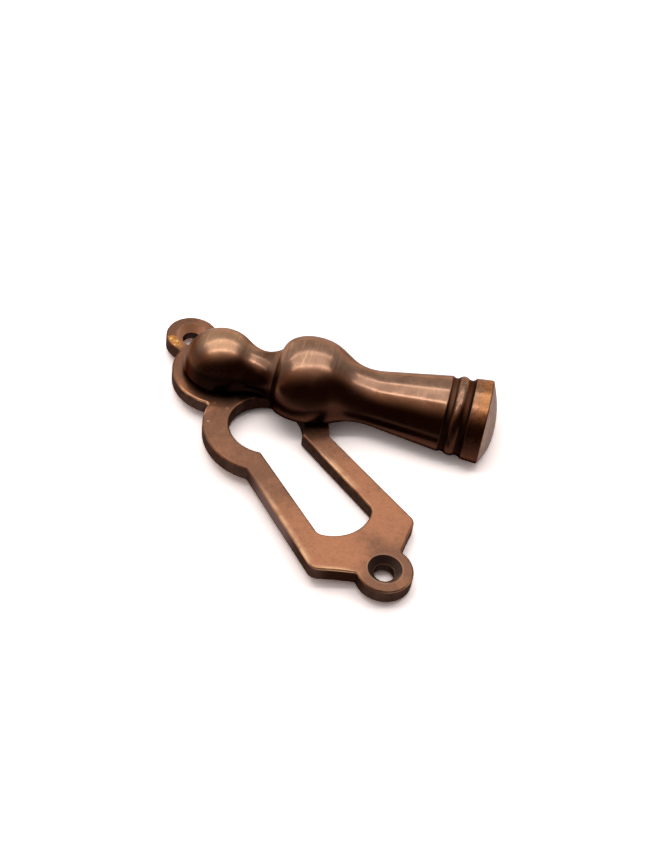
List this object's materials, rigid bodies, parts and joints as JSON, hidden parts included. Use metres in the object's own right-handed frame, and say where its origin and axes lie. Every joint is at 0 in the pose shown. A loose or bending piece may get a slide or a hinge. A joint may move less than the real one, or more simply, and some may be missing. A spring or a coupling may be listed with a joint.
{
  "type": "keyhole escutcheon",
  "caption": "Covered keyhole escutcheon: a pierced plate with countersunk screw lugs, and a half-round turned drop cover that swings aside on a rivet.",
  "frame": {"origin": "midway between the two screw holes, on the back face of the plate", "axes": "+Z out of the door through the front of the plate, +Y up to the screw hole beside the pivot, +X to the right seen from the front"},
  "size_m": [0.0443, 0.0622, 0.0111],
  "materials": {
    "plate_bronze": "aged bronze patina, satin, rubbed brighter along the edges",
    "cover_bronze": "aged bronze patina, burnished, dark in the neck and grooves",
    "rivet_brass": "dull hammered brass"
  },
  "bodies": {
    "plate": {"backplate": "plate_bronze"},
    "cover": {"swing_cover": "cover_bronze", "pivot_rivet": "rivet_brass"}
  },
  "joints": [
    {"name": "cover_swing", "type": "hinge", "parent": "plate", "child": "cover", "pos_m": [0, 0.01795, 0], "axis": [0, 0, 1], "continuous": true}
  ]
}
